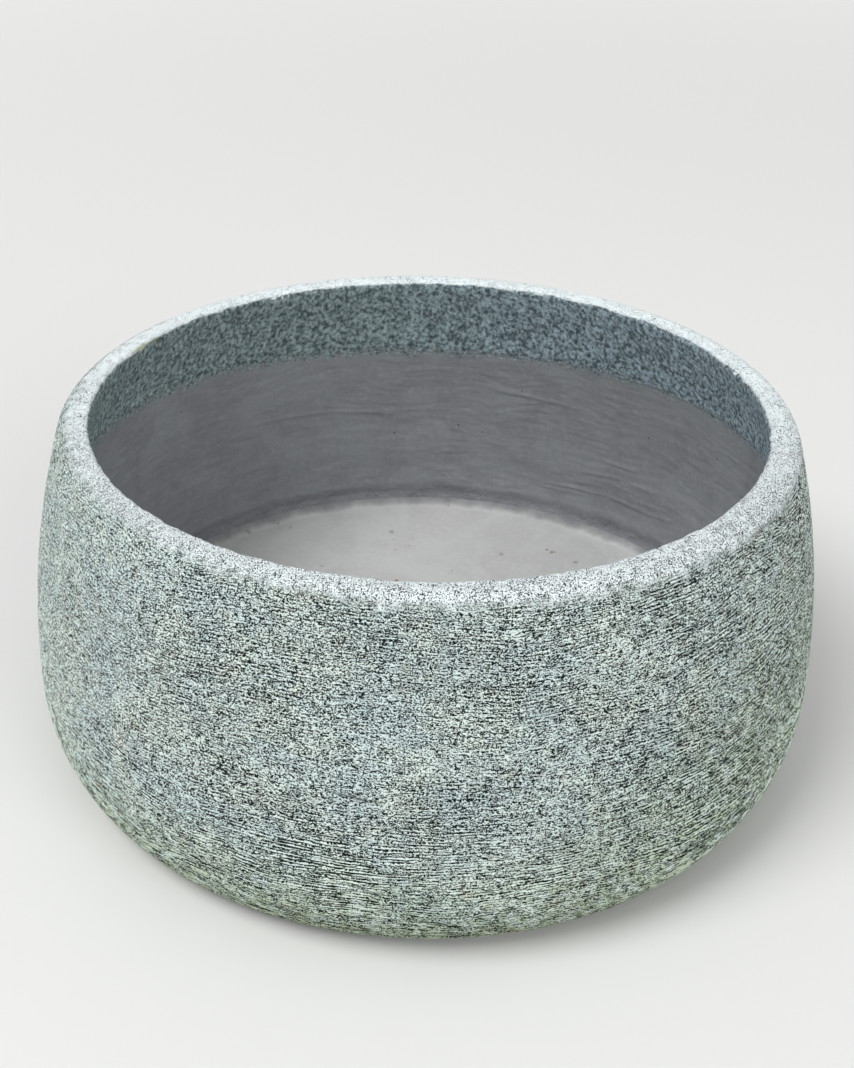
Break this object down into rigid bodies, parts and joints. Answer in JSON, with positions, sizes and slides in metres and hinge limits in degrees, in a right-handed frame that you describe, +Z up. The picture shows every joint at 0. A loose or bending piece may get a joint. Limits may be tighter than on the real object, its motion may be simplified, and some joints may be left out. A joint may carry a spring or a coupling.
{
  "type": "concrete bowl planter",
  "caption": "Low round cement bowl planter with a combed stone-effect coat, a smooth inside wall, a poured floor and a plugged drain hole; it holds soil and plants.",
  "frame": {"origin": "on the ground, under the centre of the bowl", "axes": "+Z up along the bowl's axis; the bowl is round, so +X and +Y are alike"},
  "size_m": [0.5999, 0.6, 0.275],
  "materials": {
    "cement": "matte cast cement",
    "screed": "matte floated cement",
    "stone_finish": "matte, combed and pitted",
    "wall_finish": "matte, trowelled",
    "plug_rubber": "matte"
  },
  "bodies": {
    "bowl": {"cement_shell": "cement", "floor_screed": "screed", "stone_coat": "stone_finish", "wall_coat": "wall_finish"},
    "plug": {"drain_plug": "plug_rubber"}
  },
  "joints": [
    {"name": "plug_lift", "type": "slide", "parent": "bowl", "child": "plug", "axis": [0, 0, 1], "range_m": [0, 0.28]}
  ]
}
